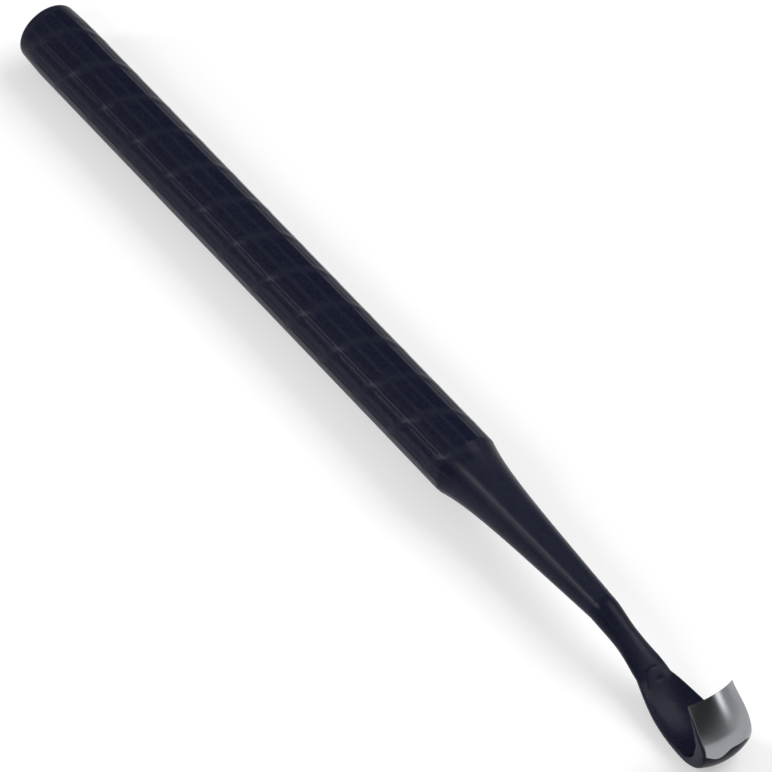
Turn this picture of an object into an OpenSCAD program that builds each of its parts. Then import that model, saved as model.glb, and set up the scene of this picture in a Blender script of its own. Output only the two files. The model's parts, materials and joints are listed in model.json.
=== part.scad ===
// Small all-steel hooked gouge: a fluted round grip with a tapered nose, a blade whose tang sits
// in the nose, and the bright cutting steel on the outside of the blade's curled tip.
// Drawn as it lies on a table, resting on the edge of its butt and on the back of its scoop.
// X runs along the tool from butt to tip, Z is up and is the way the scoop opens.

/* [Grip] */
// Diameter of the grip over its ribs
grip_d = 12; // [10:0.5:16]
// Length of the grip from the butt to the shoulder
grip_len = 120; // [80:1:160]
// Diameter of the butt end
butt_d = 11.4; // [9:0.1:11.8]
// Length over which the grip eases down to the butt
butt_ease = 6.5; // [3:0.5:12]
// Radius of the rounded edge of the butt
butt_edge = 0.9; // [0.3:0.1:1.5]

/* [Pressed pattern] */
// Number of flutes round the grip
flutes = 16; // [12:2:20]
// Length of one pocket with its cross rib, along the grip
pocket_pitch = 9.55; // [6:0.05:14]
// Number of cross ribs that wind round the grip side by side
rib_starts = 2; // [1:1:3]
// Depth of a pocket at its middle
pocket_depth = 0.3; // [0.15:0.05:0.5]
// Width of the long straight ribs between the flutes
long_rib_w = 0.45; // [0.3:0.05:0.9]
// Width of the cross ribs along the grip
cross_rib_w = 1.3; // [0.8:0.1:2.5]
// Turn of the first flute from the top of the tool
pattern_turn = 8.5; // [0:0.1:22.5]
// Distance from the shoulder back to the last cross rib in the first flute
first_rib_back = 8.3; // [0:0.1:9]
// Plain margin between the butt face and the first pockets
butt_margin = 1.6; // [1:0.1:5]

/* [Nose] */
// Length of the nose from the shoulder to its tip
nose_len = 36.5; // [25:0.5:60]
// Diameter of the nose at its tip, where the neck of the blade comes out
nose_tip_d = 5; // [4.6:0.1:7]
// Diameter that the shoulder curve steers towards
shoulder_d = 8.4; // [7:0.1:9]
// Diameter that the throat curve steers towards
throat_d = 7.4; // [5.5:0.1:7.6]

/* [Tang] */
// Diameter of the tang and of the hole it sits in
tang_d = 3.2; // [2.5:0.1:3.6]
// Length of the tang inside the nose
tang_len = 24; // [12:1:32]

/* [Blade] */
// Diameter of the neck at its narrowest
neck_d = 4.4; // [4:0.1:4.8]
// Width across the two corners on the rims where the scoop starts
root_w = 5.6; // [5:0.1:8]
// Width across the rims of the scoop
scoop_w = 9.8; // [8:0.1:12]
// Width of the cutting edge
edge_w = 8.9; // [7:0.1:10]
// Thickness of the forged wall of the scoop
wall = 1.3; // [1:0.1:1.8]
// Thickness of the wall at the heel, where the curl starts
heel_wall = 2.5; // [1.8:0.1:3]
// Thickness left at the cutting edge
edge_t = 0.2; // [0.15:0.05:0.4]
// Half angle of the arc that the scoop's cross section follows
scoop_arc = 27; // [22:1:40]
// Half angle of the arc that the cutting edge follows
edge_arc = 35; // [30:1:60]
// Steepest fall of the neck below the line of the grip
neck_fall = 19.5; // [14:0.5:24]
// Slope at the end of the curl, where 90 would stand straight up
curl = 126; // [110:1:140]

/* [Cutting steel] */
// Length of the bright steel along the outside of the curl
steel_len = 10.5; // [7:0.5:13]
// Share of the wall that the cutting steel takes
steel_share = 0.4; // [0.3:0.05:0.6]

/* [Hidden] */
$fn = 96;

grip_r = grip_d / 2;
butt_r = butt_d / 2;
nose_tip_r = nose_tip_d / 2;
tang_r = tang_d / 2;
clear = 1; // how far a cutter runs past the face it cuts
seat = 2; // how far the tang runs into the neck, to be one piece with it
shoulder_reach = 0.16; // share of the nose's length at which the shoulder curve steers
throat_reach = 0.46; // share of the nose's length at which the throat curve steers

// The path of the blade's back, as the slope in degrees at lengths along it: the neck bends down
// where it leaves the nose, the scoop levels out, the heel turns up and the tip leans back.
bend_end = 0.75;
scoop_start = 18;
scoop_low = 28;
heel_end = 42.65;
tip_end = 49.2;
bend_slope = -9.5;
scoop_low_slope = 0;
heel_end_slope = 125;
slopes = [[0, 0], [bend_end, bend_slope], [scoop_start, -neck_fall],
          [scoop_low, scoop_low_slope], [heel_end, heel_end_slope], [tip_end, curl]];

// Where along the path the cross section changes
narrowest = 6;
root_from = 13.5;
root_skew = 0.8; // the forging is uneven: one corner lies this much nearer, the other further
flat_from = 20;
thicker_from = 24;
full_width_from = 29.75;
root_spread = 2.6; // how much faster the rims part at their corners than further on
neck_arc = 84; // nearly half a circle above and below: the neck is round

steps = 84; // stations along the path
across = 10; // panels across the scoop
step_len = tip_end / steps;
steel_first = round((tip_end - steel_len) / step_len);
steel_from = steel_first * step_len;

// Blends and curves

function smooth(t) = let (c = max(0, min(1, t))) c * c * (3 - 2 * c);

// Value at s of a curve that goes smoothly from knot to knot, each knot a length and a value
function eased(s, knots, i = 0) =
    i >= len(knots) - 1 ? knots[i][1] :
    s > knots[i + 1][0] ? eased(s, knots, i + 1) :
    knots[i][1] + (knots[i + 1][1] - knots[i][1])
        * smooth((s - knots[i][0]) / (knots[i + 1][0] - knots[i][0]));

function bezier(a, b, c, d, t) =
    pow(1 - t, 3) * a + 3 * t * pow(1 - t, 2) * b + 3 * t * t * (1 - t) * c + pow(t, 3) * d;

// Grip and nose, as radius and length pairs from the middle of the butt to the tip of the nose

edge_steps = 6;
nose_steps = 16;

butt_profile = [for (i = [0:edge_steps]) let (a = 90 * i / edge_steps)
    [butt_r - butt_edge + butt_edge * sin(a), -grip_len + butt_edge - butt_edge * cos(a)]];
nose_profile = [for (i = [0:nose_steps])
    bezier([grip_r, 0], [shoulder_d / 2, nose_len * shoulder_reach],
           [throat_d / 2, nose_len * throat_reach], [nose_tip_r, nose_len], i / nose_steps)];
handle_profile = concat([[0, -grip_len]], butt_profile, [[grip_r, -grip_len + butt_ease]],
                        nose_profile, [[0, nose_len]]);

// Pockets: each flute holds a row of them, and the cross ribs between them wind round the grip

flute_angle = 360 / flutes;
flute_w = 2 * PI * grip_r / flutes;
rib_lead = rib_starts * pocket_pitch;
pocket_w = flute_w - long_rib_w;
pocket_floor = grip_r - pocket_depth;
pocket_lean = rib_lead / (2 * PI * grip_r) * pocket_w / 2; // half of its ends' slant
pattern_start = -grip_len + butt_margin;
pattern_end = 3; // the last pockets run out on the shoulder
shortest_pocket = 2;

// One pocket cutter, from the start a to the end b along the grip
module pocket(a, b) {
    translate([0, 0, pocket_floor])
        linear_extrude(height = grip_r - pocket_floor + clear)
            polygon([[max(a - pocket_lean, pattern_start), -pocket_w / 2],
                     [b - pocket_lean, -pocket_w / 2], [b + pocket_lean, pocket_w / 2],
                     [max(a + pocket_lean, pattern_start), pocket_w / 2]]);
}

// The row of pockets in one flute
module pocket_row(flute) {
    first_rib = -first_rib_back - flute * rib_lead / flutes;
    rows = ceil((grip_len + rib_lead) / pocket_pitch);
    for (row = [-rib_starts:rows]) {
        rib = first_rib - row * pocket_pitch;
        a = rib - pocket_pitch + cross_rib_w / 2;
        b = min(rib - cross_rib_w / 2, pattern_end);
        if (b - max(a, pattern_start + pocket_lean) > shortest_pocket) pocket(a, b);
    }
}

// Blade: three layers of points, the outer face, the seam under the cutting steel and the inner
// face, each with a row of points across the blade at every station along its path

path = [for (i = 0, p = [nose_len, -nose_tip_r]; i <= steps;
             p = p + step_len * [cos(lookup((i + 0.5) * step_len, slopes)),
                                 sin(lookup((i + 0.5) * step_len, slopes))], i = i + 1) p];

function half_width(s, q) = let (root = root_from + root_skew * sign(q))
    s > full_width_from ? eased(s, [[heel_end, scoop_w / 2], [tip_end, edge_w / 2]]) :
    s > root ? scoop_w / 2 - (scoop_w - root_w) / 2
        * pow((full_width_from - s) / (full_width_from - root), root_spread) :
    eased(s, [[0, nose_tip_r * sin(neck_arc)], [narrowest, neck_d / 2 * sin(neck_arc)],
              [root, root_w / 2]]);
function half_arc(s) = eased(s, [[0, neck_arc], [narrowest, neck_arc], [flat_from, scoop_arc],
    [heel_end, scoop_arc], [tip_end, edge_arc]]);
function flatness(s) = eased(s, [[0, 0], [narrowest, 0], [flat_from, 1]]);
function wall_at(s) = eased(s, [[0, wall], [thicker_from, wall], [steel_from, heel_wall]]);
function thinning(s) =
    1 - (1 - edge_t / heel_wall) * max(0, (s - steel_from) / (tip_end - steel_from));

// Radius of the round neck, the outer face's height above the path, and the metal's thickness
// at the share q of the way from the middle of the blade to its rim
function neck_radius(s) = eased(s, [[0, nose_tip_r], [narrowest, neck_d / 2]]);
function rise(s, q) = half_width(s, q) / sin(half_arc(s)) * (1 - cos(half_arc(s) * q));
function thickness(s, q) =
    ((1 - flatness(s)) * 2 * neck_radius(s) * cos(neck_arc * q) + flatness(s) * wall_at(s))
    * thinning(s);

// Layer 0 is the outer face, 1 the seam and 2 the inner face
function blade_point(layer, i, j) =
    let (s = i * step_len, slope = lookup(s, slopes), q = 2 * j / across - 1,
         h = rise(s, q) + thickness(s, q) * [0, steel_share, 1][layer])
    [path[i][0] - h * sin(slope), half_width(s, q) * sin(half_arc(s) * q) / sin(half_arc(s)),
     path[i][1] + h * cos(slope)];

blade_points = [for (layer = [0:2], i = [0:steps], j = [0:across]) blade_point(layer, i, j)];

function at(layer, i, j) = (layer * (steps + 1) + i) * (across + 1) + j;
function flip(tri) = [tri[0], tri[2], tri[1]];
function facing(tris, turn) = turn ? [for (t = tris) flip(t)] : tris;

// Two triangles of each panel: of a layer's sheet, of an end between two layers, and of a rim
function sheet(layer, first, last, up) = facing([for (i = [first:last - 1], j = [0:across - 1])
    each [[at(layer, i, j), at(layer, i + 1, j), at(layer, i + 1, j + 1)],
          [at(layer, i, j), at(layer, i + 1, j + 1), at(layer, i, j + 1)]]], up);
function end_face(low, i, front) = facing([for (j = [0:across - 1])
    each [[at(low, i, j), at(low, i, j + 1), at(low + 1, i, j + 1)],
          [at(low, i, j), at(low + 1, i, j + 1), at(low + 1, i, j)]]], front);
function rim(low, first, last, j, left) = facing([for (i = [first:last - 1])
    each [[at(low, i, j), at(low, i + 1, j), at(low + 1, i + 1, j)],
          [at(low, i, j), at(low + 1, i + 1, j), at(low + 1, i, j)]]], left);
function rims(low, first, last) =
    concat(rim(low, first, last, 0, true), rim(low, first, last, across, false));

blade_faces = concat(
    sheet(0, 0, steel_first, false), sheet(1, steel_first, steps, false), sheet(2, 0, steps, true),
    end_face(0, 0, false), end_face(1, 0, false),
    end_face(0, steel_first, true), end_face(1, steps, true),
    rims(0, 0, steel_first), rims(1, 0, steps));
steel_faces = concat(
    sheet(0, steel_first, steps, false), sheet(1, steel_first, steps, true),
    end_face(0, steel_first, false), end_face(0, steps, true), rims(0, steel_first, steps));

// Rest: the tool is pitched until the butt's edge and the scoop's back reach one level

function butt_low(pitch) = (-grip_len + butt_edge) * sin(pitch)
    - (butt_r - butt_edge) * cos(pitch) - butt_edge;
function scoop_low_at(pitch) = min([for (p = path) p[0] * sin(pitch) + p[1] * cos(pitch)]);
function grip_low(pitch) = (-grip_len + butt_ease) * sin(pitch) - grip_r * cos(pitch);
function rest_pitch(pitch, tries) = tries == 0 ? pitch :
    rest_pitch(pitch + asin((min(butt_low(pitch), grip_low(pitch)) - scoop_low_at(pitch)) / grip_len),
               tries - 1);

pitch_tries = 12;
pitch = rest_pitch(0, pitch_tries);
lift = -scoop_low_at(pitch);
back_x = (-grip_len + butt_edge) * cos(pitch) - (butt_r - butt_edge) * sin(pitch) - butt_edge;
front_x = max([for (p = blade_points) p[0] * cos(pitch) - p[2] * sin(pitch)]);

// Lays a piece, drawn along the line of the grip with x = 0 at the shoulder, on the table
module laid() {
    translate([-(back_x + front_x) / 2, 0, lift]) rotate([0, -pitch, 0]) children();
}

// Turns what is drawn upright round the Z axis to lie along the X axis
module along_x() {
    rotate([0, 90, 0]) children();
}

// Grip and nose in one turned bar, with the pressed pattern and the hole for the tang
module handle() {
    color([0.14, 0.15, 0.2]) laid() difference() {
        along_x() rotate_extrude() polygon(handle_profile);
        along_x() translate([0, 0, nose_len - tang_len])
            cylinder(r = tang_r, h = tang_len + clear);
        for (flute = [0:flutes - 1])
            rotate([pattern_turn + flute * flute_angle, 0, 0]) pocket_row(flute);
    }
}

// Forged blade: tang, neck, scoop and curl in one piece, thinned where the cutting steel lies
module blade() {
    color([0.12, 0.13, 0.18]) laid() union() {
        polyhedron(points = blade_points, faces = blade_faces, convexity = 6);
        along_x() translate([0, 0, nose_len - tang_len]) cylinder(r = tang_r, h = tang_len + seat);
    }
}

// Bright steel on the outer face of the curl, ground thin to the cutting edge
module cutting_steel() {
    color([0.62, 0.63, 0.64]) laid()
        polyhedron(points = blade_points, faces = steel_faces, convexity = 4);
}

handle();
blade();
cutting_steel();
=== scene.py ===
# Hooked gouge of black-oxidised steel, lying on a white table in soft light.
# The tool is drawn in millimetres along the line of its grip: x runs from butt to tip with 0 at the
# shoulder, y across the tool and z the way the scoop opens. place() brings that into the frame.
import json
import math

import bpy
import numpy as np
from mathutils import Matrix, Vector


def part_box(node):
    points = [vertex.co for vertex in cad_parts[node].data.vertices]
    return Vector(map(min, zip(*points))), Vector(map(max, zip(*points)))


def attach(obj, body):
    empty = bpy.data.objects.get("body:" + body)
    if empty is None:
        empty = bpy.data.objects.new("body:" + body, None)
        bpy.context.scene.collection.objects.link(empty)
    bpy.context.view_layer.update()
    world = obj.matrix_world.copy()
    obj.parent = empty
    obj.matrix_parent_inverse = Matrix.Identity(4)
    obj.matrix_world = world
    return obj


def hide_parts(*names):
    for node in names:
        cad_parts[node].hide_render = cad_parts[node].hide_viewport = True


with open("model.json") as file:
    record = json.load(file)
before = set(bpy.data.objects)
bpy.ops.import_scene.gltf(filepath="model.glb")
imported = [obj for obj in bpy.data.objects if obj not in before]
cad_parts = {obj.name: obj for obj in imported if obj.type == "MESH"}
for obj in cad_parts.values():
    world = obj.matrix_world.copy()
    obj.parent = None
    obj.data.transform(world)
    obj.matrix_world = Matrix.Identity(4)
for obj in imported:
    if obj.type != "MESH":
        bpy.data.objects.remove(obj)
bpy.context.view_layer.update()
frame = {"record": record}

MM = 0.001

# How the tool lies, taken from the butt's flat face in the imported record
GRIP_LEN = 120.0
butt_mount = next(m for m in frame["record"]["mounts"] if m["name"] == "butt_face")
along = -Vector(butt_mount["axis"]).normalized()
upward = Vector((-along.z, 0.0, along.x))
shoulder = Vector(butt_mount["pos_m"]) + along * GRIP_LEN * MM
TURN = Matrix((along, Vector((0.0, 1.0, 0.0)), upward)).transposed()


def place(points):
    """Points in millimetres along the grip, as an array of x, y and z, in the frame's metres."""
    return points * MM @ np.array(TURN).T + np.array(shoulder)


# Sizes of the grip and nose, in millimetres
GRIP_R = 6.0
BUTT_R = 5.7
BUTT_EASE = 6.5
BUTT_EDGE = 0.9
NOSE_LEN = 36.5
NOSE_TIP_R = 2.5
SHOULDER_R = 4.2
SHOULDER_REACH = 0.16
THROAT_R = 3.7
THROAT_REACH = 0.46
TIP_EDGE = 0.05
TANG_R = 1.6
TANG_LEN = 24.0

# The pressed pattern: 16 flutes of pockets, with cross ribs that wind round the grip
FLUTES = 16
POCKET_PITCH = 9.55
RIB_LEAD = 2 * POCKET_PITCH
POCKET_DEPTH = 0.1
LONG_RIB_W = 0.45
CROSS_RIB_W = 1.3
LONG_SOFT = 0.6
CROSS_SOFT = 2.0
PATTERN_TURN = math.radians(8.5)
FIRST_RIB_BACK = 8.3
PATTERN_START = -GRIP_LEN + 1.6
PATTERN_START_SOFT = 0.5
PATTERN_END = 3.0
PATTERN_END_SOFT = 2.5
PATTERN_LEAST_R = 5.25

# How finely the grip is drawn
AROUND = 256
CENTRE_R = 0.05
FACE_RINGS = 8
RIM_RINGS = 8
TIP_RINGS = 5
GRIP_SHARP = math.radians(70)

# The blade, in millimetres along its back, with slopes in degrees
NECK_R = 2.2
ROOT_W = 5.6
ROOT_SPREAD = 2.6
ROOT_SKEW = 0.8
SCOOP_W = 9.8
EDGE_W = 8.9
WALL = 1.3
HEEL_WALL = 2.5
EDGE_T = 0.06
SCOOP_ARC = math.radians(27)
EDGE_ARC = math.radians(35)
NECK_ARC = math.radians(84)
BEND_END = 0.75
NARROWEST = 6.0
ROOT_FROM = 13.5
SCOOP_START = 18.0
FLAT_FROM = 20.0
THICKER_FROM = 24.0
FULL_WIDTH = 29.75
SCOOP_LOW = 28.0
STEEL_START = 38.66
HEEL_END = 42.65
BACK_END = 48.8
TIP_END = 49.2
CURL_END = 42.24
SLOPE_AT = [0.0, BEND_END, SCOOP_START, SCOOP_LOW, CURL_END, TIP_END]
SLOPES = [0.0, -9.5, -19.5, 0.0, 121.5, 129.5]
STEEL_SHARE = 0.4
RIM_ROUND = 0.35
NECK_ROUND_SHARE = 0.3
ROUND_LIMIT = 0.4998
STEEL_LINE_AT = [-1, -0.5, 0, 0.5, 1]
STEEL_LINE = [0.5, -0.7, 0.5, 0.1, -1.5]
STEEL_LINE_RUN = 3.0
GROUND_INSET = 0.5
INSET_SOFT = 0.2

# Small marks of the forging, as places s along the blade and y across it
# The dents below are also darkened in colour, as painted shade in the crease, the grooves and the pit.
CREASE = [(12.67, -1.13), (12.52, 0.16), (12.68, 0.87)]
CREASE_W = 0.2
CREASE_DEPTH = 0.07
RIM_LINE = [(12.67, -1.13), (13.89, -1.75), (15.15, -2.42)]
NECK_MARK = [(2.2, -1.6), (2.5, -1.2), (2.4, -0.7)]
LINE_W = 0.16
LINE_DEPTH = 0.06
PIT_AT = (14.52, 0.43)
PIT_HALF = (0.35, 0.6)
PIT_DEPTH = 0.09
RIM_WEAR = 0.3
# Painted sheen: an oval of lighter colour on the inner face of the neck and the start of the scoop,
# standing in for the key lamp's reflection there.
PAINTED_SHEEN_AT = (13.0, 0.0)
PAINTED_SHEEN_HALF = (7.0, 1.5)

# How finely the blade is drawn: rings stand closer together from MARKS_FROM to MARKS_TO
STEP = 0.2
PATH_STEP = 0.01
FLAT_PANELS = 40
CORNER_STEPS = 5
MARKS_FROM = 1.5
MARKS_TO = 16.0
BLADE_SHARP = math.radians(50)


def smooth(t):
    """Goes from 0 to 1 with soft ends as t does, and stays there outside."""
    t = np.clip(t, 0.0, 1.0)
    return t * t * (3 - 2 * t)


def eased(s, knots, values):
    """Goes smoothly from value to value between the knots."""
    s = np.asarray(s, float)
    out = np.full(s.shape, float(values[0]))
    for a, b, va, vb in zip(knots[:-1], knots[1:], values[:-1], values[1:]):
        out = np.where(s >= a, va + (vb - va) * smooth((s - a) / (b - a)), out)
    return out


# Meshes from rings of points


def grid_faces(rows, columns):
    """Quads of a grid, numbered row by row, whose rows close on themselves."""
    faces = []
    for i in range(rows - 1):
        for j in range(columns):
            k = (j + 1) % columns
            faces.append((i * columns + j, i * columns + k, (i + 1) * columns + k, (i + 1) * columns + j))
    return faces


def end_faces(row, columns):
    """Strips across a ring, facing outward at the first row and at the last."""
    faces = []
    for j in range(columns // 2 - 1):
        strip = (j, j + 1, columns - 2 - j, columns - 1 - j)
        corners = [row * columns + k for k in strip]
        faces.append(corners if row else corners[::-1])
    return faces


def ring_object(name, rings, uv, fields, sharp_from):
    """A closed mesh through rings of points, with a uv and a value of each field for every point."""
    rows, columns = rings.shape[:2]
    faces = grid_faces(rows, columns) + end_faces(0, columns) + end_faces(rows - 1, columns)
    mesh = bpy.data.meshes.new(name)
    mesh.from_pydata(place(rings.reshape(-1, 3)).tolist(), [], faces)
    for field, values in fields.items():
        layer = mesh.attributes.new(field, "FLOAT", "POINT")
        layer.data.foreach_set("value", values.reshape(-1).astype(np.float32))
    layer = mesh.uv_layers.new(name="lay")
    loops = np.zeros(len(mesh.loops), np.int32)
    mesh.loops.foreach_get("vertex_index", loops)
    layer.data.foreach_set("uv", uv.reshape(-1, 2)[loops].astype(np.float32).reshape(-1))
    mesh.validate()
    mesh.shade_smooth()
    mesh.set_sharp_from_angle(angle=sharp_from)
    obj = bpy.data.objects.new(name, mesh)
    bpy.context.scene.collection.objects.link(obj)
    return obj


# Grip and nose


def bezier(a, b, c, d, t):
    """A cubic curve from a to d, drawn toward b and c."""
    return (1 - t) ** 3 * a + 3 * t * (1 - t) ** 2 * b + 3 * t * t * (1 - t) * c + t ** 3 * d


def grip_profile():
    """Lengths and radii from the middle of the butt over the outside, then back into the tang's hole."""
    rows = [(-GRIP_LEN, r) for r in np.linspace(CENTRE_R, BUTT_R - BUTT_EDGE, FACE_RINGS)[:-1]]
    for a in np.linspace(0, math.pi / 2, RIM_RINGS):
        rows.append((-GRIP_LEN + BUTT_EDGE * (1 - math.cos(a)), BUTT_R - BUTT_EDGE * (1 - math.sin(a))))
    for x in np.arange(-GRIP_LEN + BUTT_EDGE + STEP, 0, STEP):
        share = min(1.0, (x + GRIP_LEN - BUTT_EDGE) / (BUTT_EASE - BUTT_EDGE))
        rows.append((x, BUTT_R + (GRIP_R - BUTT_R) * share))
    for t in np.linspace(0, 1, int(NOSE_LEN / STEP)):
        x = bezier(0.0, NOSE_LEN * SHOULDER_REACH, NOSE_LEN * THROAT_REACH, NOSE_LEN, t)
        r = bezier(GRIP_R, SHOULDER_R, THROAT_R, NOSE_TIP_R, t)
        rows.append((min(x, NOSE_LEN - TIP_EDGE), r))
    for a in np.linspace(0, math.pi / 2, TIP_RINGS)[1:]:
        rows.append((NOSE_LEN - TIP_EDGE * (1 - math.sin(a)), NOSE_TIP_R - TIP_EDGE * (1 - math.cos(a))))
    rows.append((NOSE_LEN, TANG_R))
    rows.append((NOSE_LEN - TANG_LEN, TANG_R))
    rows.append((NOSE_LEN - TANG_LEN, CENTRE_R))
    return np.array(rows)


def pocket_mask(x, turn):
    """1 on the floor of a pocket and 0 on the ribs, with soft edges."""
    flute = (turn - PATTERN_TURN) / (2 * math.pi) * FLUTES
    flute_w = 2 * math.pi * GRIP_R / FLUTES
    off = flute - np.round(flute)
    winding = (turn - PATTERN_TURN) / (2 * math.pi) * RIB_LEAD
    run = (x + FIRST_RIB_BACK + winding) / POCKET_PITCH
    cross = np.abs(run - np.round(run)) * POCKET_PITCH
    long_edge = smooth(((flute_w - LONG_RIB_W) / 2 - np.abs(off) * flute_w) / LONG_SOFT + 0.5)
    cross_edge = smooth((cross - CROSS_RIB_W / 2) / CROSS_SOFT + 0.5)
    start = smooth((x - PATTERN_START) / PATTERN_START_SOFT)
    end = smooth((PATTERN_END - x) / PATTERN_END_SOFT + 0.5)
    return long_edge * cross_edge * start * end


def make_grip():
    profile = grip_profile()
    turns = np.linspace(0, 2 * math.pi, AROUND, endpoint=False)
    x = np.repeat(profile[:, :1], AROUND, axis=1)
    r = np.repeat(profile[:, 1:], AROUND, axis=1)
    turn = np.repeat(turns[None, :], len(profile), axis=0)
    mask = pocket_mask(x, turn) * (r > PATTERN_LEAST_R)
    r = r - np.maximum(r - (GRIP_R - POCKET_DEPTH), 0) * mask
    rings = np.stack([x, -np.sin(turn) * r, np.cos(turn) * r], axis=-1)
    lay = np.stack([x, turn * GRIP_R], axis=-1)
    fields = {"wear_and_sheen": 1 - mask, "black_and_shade": np.zeros(mask.shape)}
    return ring_object("grip", rings, lay, fields, GRIP_SHARP)


# Blade: s runs along its back, and q across it from -1 to 1


def blade_path(s):
    """Points of the blade's back in the middle plane, and the slopes there in radians."""
    fine = np.arange(0, TIP_END + 2 * PATH_STEP, PATH_STEP)
    slope = np.radians(np.interp(fine, SLOPE_AT, SLOPES))
    middle = (slope[1:] + slope[:-1]) / 2
    px = NOSE_LEN + np.concatenate([[0], np.cumsum(np.cos(middle))]) * PATH_STEP
    pz = -NOSE_TIP_R + np.concatenate([[0], np.cumsum(np.sin(middle))]) * PATH_STEP
    return np.interp(s, fine, px), np.interp(s, fine, pz), np.interp(s, fine, slope)


def half_width_at(s, root):
    """Half the blade's width where the scoop's corner lies at root: it spreads from there on."""
    neck = eased(s, [0, NARROWEST, root],
                 [NOSE_TIP_R * math.sin(NECK_ARC), NECK_R * math.sin(NECK_ARC), ROOT_W / 2])
    left = np.clip((FULL_WIDTH - s) / (FULL_WIDTH - root), 0, 1)
    scoop = SCOOP_W / 2 - (SCOOP_W - ROOT_W) / 2 * left ** ROOT_SPREAD
    tab = eased(s, [HEEL_END, TIP_END], [SCOOP_W / 2, EDGE_W / 2])
    return np.where(s < root, neck, np.where(s < FULL_WIDTH, scoop, tab))


def half_width(s, q):
    """The forging is uneven: one corner of the scoop lies nearer than the other."""
    near = half_width_at(s, ROOT_FROM - ROOT_SKEW)
    far = half_width_at(s, ROOT_FROM + ROOT_SKEW)
    return np.where(np.asarray(q) < 0, near, far)


def half_arc(s):
    """Half the angle of the arc that the blade's back makes across it."""
    return eased(s, [0, NARROWEST, FLAT_FROM, HEEL_END, TIP_END],
                 [NECK_ARC, NECK_ARC, SCOOP_ARC, SCOOP_ARC, EDGE_ARC])


def flatness(s):
    """0 where the blade is round, at its neck, and 1 where it is a wall of even thickness."""
    return eased(s, [0, NARROWEST, FLAT_FROM], [0, 0, 1])


def rise(s, q):
    """How far the back lies above its lowest line."""
    return half_width(s, q) / np.sin(half_arc(s)) * (1 - np.cos(half_arc(s) * q))


def thickness(s, q):
    """The blade's thickness, which falls to EDGE_T along the tab."""
    flat = flatness(s)
    neck_r = eased(s, [0, NARROWEST], [NOSE_TIP_R, NECK_R])
    wall = eased(s, [0, THICKER_FROM, STEEL_START], [WALL, WALL, HEEL_WALL])
    thin = 1 - (1 - EDGE_T / HEEL_WALL) * np.clip((s - STEEL_START) / (TIP_END - STEEL_START), 0, 1)
    return ((1 - flat) * 2 * neck_r * np.cos(NECK_ARC * q) + flat * wall) * thin


def steel_line(s, q):
    """How far the rows lie from straight across: the ground face starts on a wavy line."""
    wave = eased(q, STEEL_LINE_AT, STEEL_LINE)
    return wave * np.interp(s, [STEEL_START - STEEL_LINE_RUN, STEEL_START, TIP_END], [0, 1, 0])


def groove(s, y, line, width):
    """1 on a line of points given as s and y, falling to 0 within its width."""
    best = np.full(np.broadcast(s, y).shape, np.inf)
    for (s0, y0), (s1, y1) in zip(line[:-1], line[1:]):
        ds, dy = s1 - s0, y1 - y0
        t = np.clip(((s - s0) * ds + (y - y0) * dy) / (ds * ds + dy * dy), 0, 1)
        best = np.minimum(best, np.hypot(s - s0 - t * ds, y - y0 - t * dy))
    return np.exp(-(best / width) ** 2)


def oval(s, y, middle, half):
    """1 in the middle of an oval place, falling to 0 round it."""
    return np.exp(-((s - middle[0]) / half[0]) ** 2 - ((y - middle[1]) / half[1]) ** 2)


def dents_at(s, y):
    """Depth of the small marks on the inner face."""
    lines = groove(s, y, RIM_LINE, LINE_W) + groove(s, y, NECK_MARK, LINE_W)
    crease = CREASE_DEPTH * groove(s, y, CREASE, CREASE_W)
    return crease + LINE_DEPTH * lines + PIT_DEPTH * oval(s, y, PIT_AT, PIT_HALF)


def left_black(s, q, y):
    """1 along the near side of the tab, outside the ground face, and 0 on the face itself."""
    inset = GROUND_INSET * (TIP_END - s) / (TIP_END - STEEL_START)
    return smooth((inset - (half_width(s, q) + y)) / INSET_SOFT + 0.5)


def rounded_side(s, low, high):
    """Places q across one face of the ring, how far its rounded rims drop there, and their radius."""
    room = float(thickness(s, 1.0)) * (high - low)
    corner = min(RIM_ROUND * max(float(flatness(s)), NECK_ROUND_SHARE), room * ROUND_LIMIT)
    edge = corner / float(half_width(s, 1.0))
    turns = np.linspace(0, math.pi / 2, CORNER_STEPS + 1)[1:]
    middle = np.linspace(-(1 - edge), 1 - edge, FLAT_PANELS + 1)
    rim = 1 - edge + edge * np.sin(turns)
    rim_drop = corner * (1 - np.cos(turns))
    q = np.concatenate([-rim[::-1], middle, rim])
    drop = np.concatenate([rim_drop[::-1], np.zeros(len(middle)), rim_drop])
    return q, drop, corner


def section(s, low, high):
    """One ring at length s, between two shares of the thickness, with its fields."""
    q, drop, corner = rounded_side(s, low, high)
    row = s + steel_line(s, q)
    y = half_width(row, q) * np.sin(half_arc(row) * q) / np.sin(half_arc(row))
    dents = dents_at(row, y)
    has_back = low == 0.0
    has_inside = high == 1.0
    below = rise(row, q) + thickness(row, q) * low + drop * has_back
    above = rise(row, q) + thickness(row, q) * high - (drop + dents) * has_inside
    # On the inner face the dents darken the colour too, as painted shade; on other faces the value is 1,
    # black oxide.
    marks = np.clip(dents / LINE_DEPTH, 0, 1) if has_inside else np.ones(len(q))
    black = np.maximum(left_black(row, q, y), drop > corner / 2)
    worn = RIM_WEAR * drop / corner
    # The oval below is painted sheen in place of the key lamp's reflection on the inner neck; it joins
    # the rubbed rims in the wear field.
    painted_sheen = oval(row, y, PAINTED_SHEEN_AT, PAINTED_SHEEN_HALF)
    return {
        "row": np.concatenate([row, row[::-1]]),
        "across": np.concatenate([y, y[::-1]]),
        "height": np.concatenate([below, above[::-1]]),
        "wear_and_sheen": np.concatenate([worn, np.maximum(worn, painted_sheen)[::-1]]),
        "black_and_shade": np.concatenate([black, marks[::-1]]),
    }


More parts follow.
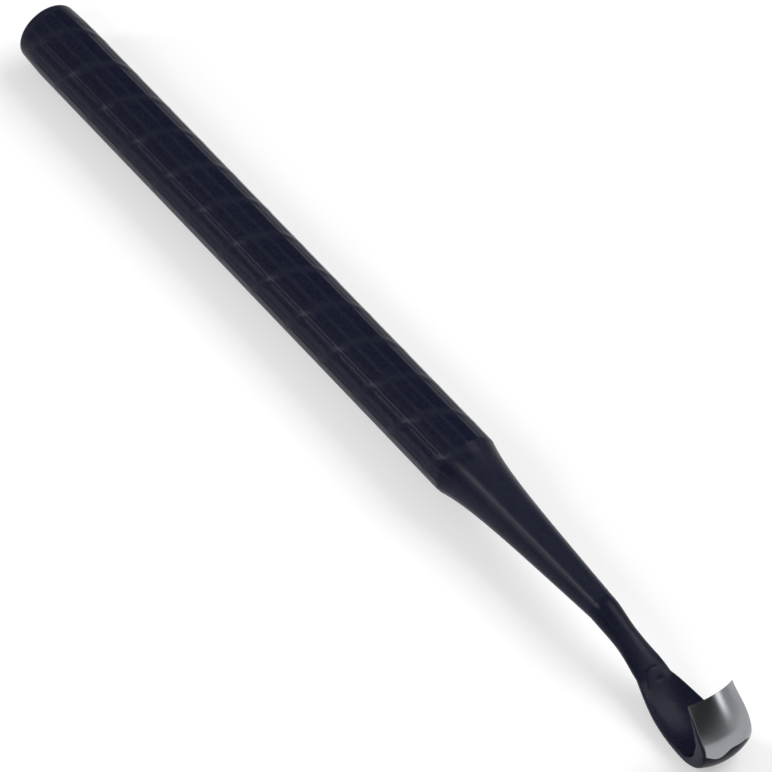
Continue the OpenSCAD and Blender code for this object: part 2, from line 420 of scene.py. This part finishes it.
def stations(first, last):
    """Lengths of the rings from first to last, closer together where the small marks are."""
    even = np.linspace(first, last, int(round((last - first) / STEP)) + 1)
    fine = [s for s in even[:-1] + STEP / 2 if MARKS_FROM < s < MARKS_TO]
    return np.sort(np.concatenate([even, fine]))


def tang_rings(first_ring):
    """Two rings of the round tang, which the nose hides, before the blade's first ring."""
    middle = first_ring.mean(axis=0)
    spokes = first_ring - middle
    spokes[:, 0] = 0
    spokes *= TANG_R / np.linalg.norm(spokes, axis=1, keepdims=True)
    rings = []
    for x in (NOSE_LEN - TANG_LEN, NOSE_LEN):
        ring = spokes.copy()
        ring[:, 0] = x
        rings.append(ring)
    return rings


def sweep(name, parts, tang=False):
    """Rings along the path; each part is a first and last length and the shares of the thickness."""
    rings, lay, wear_and_sheen, black_and_shade = [], [], [], []
    for first, last, low, high in parts:
        for s in stations(first, last):
            ring = section(s, low, high)
            px, pz, slope = blade_path(ring["row"])
            x = px - ring["height"] * np.sin(slope)
            z = pz + ring["height"] * np.cos(slope)
            rings.append(np.stack([x, ring["across"], z], axis=-1))
            lay.append(np.stack([ring["row"], ring["across"]], axis=-1))
            wear_and_sheen.append(ring["wear_and_sheen"])
            black_and_shade.append(ring["black_and_shade"])
    if tang:
        rings = tang_rings(rings[0]) + rings
        lay = [lay[0]] * 2 + lay
        wear_and_sheen = [wear_and_sheen[0]] * 2 + wear_and_sheen
        black_and_shade = [black_and_shade[0]] * 2 + black_and_shade
    fields = {"wear_and_sheen": np.array(wear_and_sheen), "black_and_shade": np.array(black_and_shade)}
    return ring_object(name, np.array(rings), np.array(lay), fields, BLADE_SHARP)


def make_blade():
    whole = (0.0, STEEL_START, 0.0, 1.0)
    backing = (STEEL_START, BACK_END, STEEL_SHARE, 1.0)
    return sweep("blade_forging", [whole, backing], tang=True)


def make_steel():
    return sweep("cutting_steel_ground", [(STEEL_START, TIP_END, 0.0, STEEL_SHARE)])


# Materials


class Nodes:
    """A node tree, with short ways to add nodes and joints."""

    def __init__(self, tree):
        self.tree = tree

    def add(self, kind, **settings):
        node = self.tree.nodes.new(kind)
        for name, value in settings.items():
            setattr(node, name, value)
        return node

    def join(self, start, end):
        self.tree.links.new(start, end)

    def math(self, operation, first, second=0.0, third=0.0, clamp=False):
        node = self.add("ShaderNodeMath", operation=operation, use_clamp=clamp)
        for socket, value in zip(node.inputs, (first, second, third)):
            if isinstance(value, (int, float)):
                socket.default_value = value
            else:
                self.join(value, socket)
        return node.outputs[0]

    def ramp(self, value, low, high, start=0.0, end=1.0):
        """Goes smoothly from start to end as the value goes from low to high."""
        node = self.add("ShaderNodeMapRange", interpolation_type="SMOOTHSTEP")
        for name, number in (("From Min", low), ("From Max", high), ("To Min", start), ("To Max", end)):
            node.inputs[name].default_value = number
        self.join(value, node.inputs["Value"])
        return node.outputs[0]


class Surface(Nodes):
    """A material with its principled shader."""

    def __init__(self, name):
        self.material = bpy.data.materials.new(name)
        self.material.use_nodes = True
        super().__init__(self.material.node_tree)
        self.shader = self.tree.nodes["Principled BSDF"]
        self.output = self.tree.nodes["Material Output"]

    def set(self, **values):
        for name, value in values.items():
            self.shader.inputs[name.replace("_", " ")].default_value = value

    def noise(self, scale, detail, stretch=(1, 1, 1), roughness=0.5, coordinate="Object"):
        where = self.add("ShaderNodeTexCoord").outputs[coordinate]
        mapping = self.add("ShaderNodeMapping")
        mapping.inputs["Scale"].default_value = stretch
        self.join(where, mapping.inputs["Vector"])
        node = self.add("ShaderNodeTexNoise")
        node.inputs["Scale"].default_value = scale
        node.inputs["Detail"].default_value = detail
        node.inputs["Roughness"].default_value = roughness
        self.join(mapping.outputs[0], node.inputs["Vector"])
        return node.outputs[0]

    def mix(self, factor, first, second):
        """A colour between two colours, each three numbers or a socket."""
        node = self.add("ShaderNodeMix", data_type="RGBA")
        self.join(factor, node.inputs[0])
        for socket, value in ((node.inputs[6], first), (node.inputs[7], second)):
            if isinstance(value, tuple):
                socket.default_value = (*value, 1.0)
            else:
                self.join(value, socket)
        return node.outputs[2]

    def bump(self, height, distance, strength, after=None):
        node = self.add("ShaderNodeBump")
        node.inputs["Strength"].default_value = strength
        node.inputs["Distance"].default_value = distance
        self.join(height, node.inputs["Height"])
        if after is not None:
            self.join(after, node.inputs["Normal"])
        return node.outputs[0]

    def field(self, name):
        return self.add("ShaderNodeAttribute", attribute_name=name).outputs["Fac"]


OXIDE_DARK = (0.0050, 0.0062, 0.0165)
OXIDE_LIGHT = (0.0090, 0.0104, 0.0225)
# The rubbed colour also paints the sheen on the blade's inner neck.
OXIDE_RUBBED_AND_SHEEN = (0.024, 0.026, 0.040)
SPECK = (0.10, 0.105, 0.12)
STEEL_DARK = (0.27, 0.28, 0.30)
STEEL_LIGHT = (0.32, 0.33, 0.35)

# The oxide: scales are per metre, and each bump is a depth in metres and a strength
OXIDE_GRAIN = 5200
OXIDE_SPECKS = 4200
OXIDE_MOTTLE = 1700
OXIDE_CLOUDS = 260
SPECK_SHARE = 0.3
# How far the mark field darkens the oxide; in the blade's inner dents that darkening is painted shade.
BLACK_AND_SHADE_SHARE = 0.7
GRIP_RUB = 0.35
# On the blade this share also scales the painted sheen of the inner neck.
BLADE_RUB_AND_SHEEN = 0.9
OXIDE_ROUGH = 0.21
OXIDE_ROUGH_GRAIN = 0.1
OXIDE_SHINE = 0.05
GRAIN_BUMP = (0.00002, 0.1)
CLOUD_BUMP = (0.00006, 0.5)

# The ground steel: its grinding lines are drawn on the uv, in millimetres
LINE_SCALE = 14
LINE_STRETCH = (0.05, 1, 1)
LINE_BUMP = (0.00001, 0.15)
STEEL_GRAIN = 7000
STEEL_ROUGH = 0.2
STEEL_ROUGH_GRAIN = 0.06
STEEL_SHINE = 0.07


def oxide(name, rub):
    """Blue-black oxide, rubbed lighter where the wear field is high, which on the blade also holds a
    painted sheen on the inner neck; darker in the marks, which in the blade's inner dents is painted
    shade.
    """
    n = Surface(name)
    grain = n.noise(OXIDE_GRAIN, 3, roughness=0.7)
    cloud = n.noise(OXIDE_CLOUDS, 3)
    mottle = n.noise(OXIDE_MOTTLE, 2)
    speck = n.ramp(n.noise(OXIDE_SPECKS, 1), 0.74, 0.78)
    # Lighter where the wear field is high: rubbed ribs and rims, and on the blade also a painted sheen on
    # the inner neck.
    worn = n.math("MULTIPLY", n.field("wear_and_sheen"), n.ramp(cloud, 0.3, 0.7, 0.6, 1.0))
    base = n.mix(n.ramp(n.math("ADD", grain, mottle), 0.75, 1.25), OXIDE_DARK, OXIDE_LIGHT)
    base = n.mix(n.math("MULTIPLY", worn, rub, clamp=True), base, OXIDE_RUBBED_AND_SHEEN)
    # Darker where the mark field is high: black oxide along the blade's edges, and painted shade in its
    # inner dents.
    base = n.mix(n.math("MULTIPLY", n.field("black_and_shade"), BLACK_AND_SHADE_SHARE), base, OXIDE_DARK)
    base = n.mix(n.math("MULTIPLY", speck, SPECK_SHARE), base, SPECK)
    rough = n.math("MULTIPLY_ADD", grain, OXIDE_ROUGH_GRAIN, OXIDE_ROUGH)
    n.join(base, n.shader.inputs["Base Color"])
    n.join(rough, n.shader.inputs["Roughness"])
    n.join(n.bump(cloud, *CLOUD_BUMP, after=n.bump(grain, *GRAIN_BUMP)), n.shader.inputs["Normal"])
    n.set(Metallic=0.0, Specular_IOR_Level=OXIDE_SHINE)
    return n.material


def ground_steel():
    """Bright steel with fine grinding lines; it is black oxide where the mark field is high."""
    n = Surface("ground_steel")
    lines = n.noise(LINE_SCALE, 4, stretch=LINE_STRETCH, coordinate="UV")
    grain = n.noise(STEEL_GRAIN, 2, roughness=0.7)
    bright = n.mix(n.ramp(grain, 0.3, 0.7), STEEL_DARK, STEEL_LIGHT)
    black = n.field("black_and_shade")
    rough = n.math("MULTIPLY_ADD", grain, STEEL_ROUGH_GRAIN, STEEL_ROUGH)
    n.join(n.mix(black, bright, OXIDE_LIGHT), n.shader.inputs["Base Color"])
    n.join(n.math("SUBTRACT", 1.0, black, clamp=True), n.shader.inputs["Metallic"])
    n.join(rough, n.shader.inputs["Roughness"])
    n.join(n.bump(lines, *LINE_BUMP), n.shader.inputs["Normal"])
    n.set(Specular_IOR_Level=STEEL_SHINE)
    return n.material


# Camera: it looks from the tip's side. The elevation is measured from the grip's own x and y plane,
# and the tilt is the grip's in the picture.

ELEVATION = math.radians(50.7)
IMAGE_TILT = math.radians(46.07)
CAMERA_DISTANCE = 1150.0
FOCAL_PX = 7084.0
IMAGE_PX = 772
SENSOR = 36.0
SHOULDER_PX = (464.8, 464.8)
CLIP_START = 0.1
CLIP_END = 20.0


def make_camera():
    azimuth = -math.atan(math.sin(ELEVATION) / math.tan(IMAGE_TILT))
    level = np.array([math.cos(azimuth), math.sin(azimuth), 0.0])
    right = np.array([-math.sin(azimuth), math.cos(azimuth), 0.0])
    zenith = np.array([0.0, 0.0, 1.0])
    back = math.cos(ELEVATION) * level + math.sin(ELEVATION) * zenith
    up = math.cos(ELEVATION) * zenith - math.sin(ELEVATION) * level
    off_x = SHOULDER_PX[0] - IMAGE_PX / 2
    off_y = IMAGE_PX / 2 - SHOULDER_PX[1]
    aim = -back * FOCAL_PX - right * off_x - up * off_y
    aim = TURN @ Vector(aim).normalized()
    top = TURN @ Vector(up)
    side = aim.cross(top).normalized()
    top = side.cross(aim)
    data = bpy.data.cameras.new("camera")
    data.sensor_width = SENSOR
    data.lens = FOCAL_PX / IMAGE_PX * SENSOR
    data.clip_start = CLIP_START
    data.clip_end = CLIP_END
    camera = bpy.data.objects.new("camera", data)
    spot = place(np.array([back * CAMERA_DISTANCE]))[0]
    turned = Matrix((side, top, -aim)).transposed().to_4x4()
    camera.matrix_world = Matrix.Translation(Vector(spot)) @ turned
    bpy.context.scene.collection.objects.link(camera)
    bpy.context.scene.camera = camera


# Floor

FLOOR_REACH = 6.0
FLOOR_WHITE = 0.95
FLOOR_GLOW = 0.42


def floor_material():
    """White paper that partly glows for what sees it directly or mirrored, and keeps the shadow."""
    n = Surface("white_floor")
    n.shader.inputs["Base Color"].default_value = (FLOOR_WHITE, FLOOR_WHITE, FLOOR_WHITE, 1.0)
    n.set(Roughness=1.0)
    path = n.add("ShaderNodeLightPath")
    seen = n.math("MAXIMUM", path.outputs["Is Camera Ray"], path.outputs["Is Glossy Ray"])
    seen = n.math("MAXIMUM", seen, path.outputs["Is Transmission Ray"])
    glow = n.add("ShaderNodeEmission")
    mixed = n.add("ShaderNodeMixShader")
    n.join(n.math("MULTIPLY", seen, FLOOR_GLOW), mixed.inputs[0])
    n.join(n.shader.outputs[0], mixed.inputs[1])
    n.join(glow.outputs[0], mixed.inputs[2])
    n.join(mixed.outputs[0], n.output.inputs["Surface"])
    return n.material


def make_floor():
    mesh = bpy.data.meshes.new("floor")
    r = FLOOR_REACH
    mesh.from_pydata([(-r, -r, 0), (r, -r, 0), (r, r, 0), (-r, r, 0)], [], [(0, 1, 2, 3)])
    floor = bpy.data.objects.new("floor", mesh)
    bpy.context.scene.collection.objects.link(floor)
    mesh.materials.append(floor_material())


# The room as broad soft patches: way to the middle, angle that it reaches, and level
CEILING = ((-0.15, -0.25, 1.0), math.radians(48), 0.5)
WHITE_WALL = ((0.26, 0.96, 0.14), math.radians(42), 0.6)
PATCH_SOFT = math.radians(8)
ROOM = 0.035
HORIZON = 0.5
HORIZON_LOW = -0.05
HORIZON_HIGH = 0.3

# Lamps: where from, how far, how wide, how high and how strong; metres and watts
KEY = ((0.24, 0.80, 1.0), 1.0, 0.76, 0.76, 7.6)
GRIP_LAMP = ((-0.508, -0.76, 0.41), 1.0, 0.26, 0.38, 3.1)
NOSE_LAMP = ((-0.35, -0.65, 0.72), 0.2, 0.055, 0.055, 0.11)
NOSE_SPOT = 0.6
TAB_LAMP = ((0.80, 0.50, 0.29), 1.0, 0.22, 0.3, 0.55)


def make_lamp(name, direction, distance, width, height, power, target=(0.0, 0.0, 0.0)):
    """An oval soft lamp that faces a place on the tool."""
    data = bpy.data.lights.new(name, "AREA")
    data.shape = "ELLIPSE"
    data.size = width
    data.size_y = height
    data.energy = power
    lamp = bpy.data.objects.new(name, data)
    way = Vector(direction).normalized()
    lamp.location = Vector(target) + way * distance
    lamp.rotation_mode = "QUATERNION"
    lamp.rotation_quaternion = way.to_track_quat("Z", "Y")
    bpy.context.scene.collection.objects.link(lamp)


def room_patch(n, way, direction, reach, strength):
    """The level of one soft patch of the room, seen along way."""
    aim = n.add("ShaderNodeVectorMath", operation="DOT_PRODUCT")
    aim.inputs[1].default_value = Vector(direction).normalized()
    n.join(way, aim.inputs[0])
    outside = math.cos(reach + PATCH_SOFT)
    inside = math.cos(reach - PATCH_SOFT)
    return n.ramp(aim.outputs["Value"], outside, inside, ROOM, strength)


def make_world():
    """The room as the tool sees it; the camera itself sees plain white."""
    world = bpy.data.worlds.new("world")
    bpy.context.scene.world = world
    world.use_nodes = True
    n = Nodes(world.node_tree)
    way = n.add("ShaderNodeTexCoord").outputs["Generated"]
    height = n.add("ShaderNodeSeparateXYZ")
    n.join(way, height.inputs[0])
    level = n.ramp(height.outputs["Z"], HORIZON_LOW, HORIZON_HIGH, HORIZON, ROOM)
    for patch in (CEILING, WHITE_WALL):
        level = n.math("MAXIMUM", level, room_patch(n, way, *patch))
    level = n.math("MAXIMUM", level, n.add("ShaderNodeLightPath").outputs["Is Camera Ray"])
    back = n.tree.nodes["Background"]
    back.inputs["Color"].default_value = (1.0, 1.0, 1.0, 1.0)
    n.join(level, back.inputs["Strength"])


def make_lamps():
    nose = Vector(place(np.array([[NOSE_LEN * NOSE_SPOT, 0.0, 0.0]]))[0])
    tab = Vector(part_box("cutting_steel")[1])
    make_lamp("key", *KEY)
    make_lamp("grip_lamp", *GRIP_LAMP)
    make_lamp("nose_lamp", *NOSE_LAMP, target=nose)
    make_lamp("tab_lamp", *TAB_LAMP, target=tab)


def dress(piece, node, material):
    """Gives a piece its material and lets it stand for a node of the solids."""
    piece.data.materials.append(material)
    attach(piece, "root")
    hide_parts(node)


make_camera()
make_floor()
make_world()
make_lamps()
dress(make_grip(), "handle", oxide("oxide_grip", GRIP_RUB))
dress(make_blade(), "blade", oxide("oxide_blade", BLADE_RUB_AND_SHEEN))
dress(make_steel(), "cutting_steel", ground_steel())

bpy.context.scene.view_settings.view_transform = "Standard"
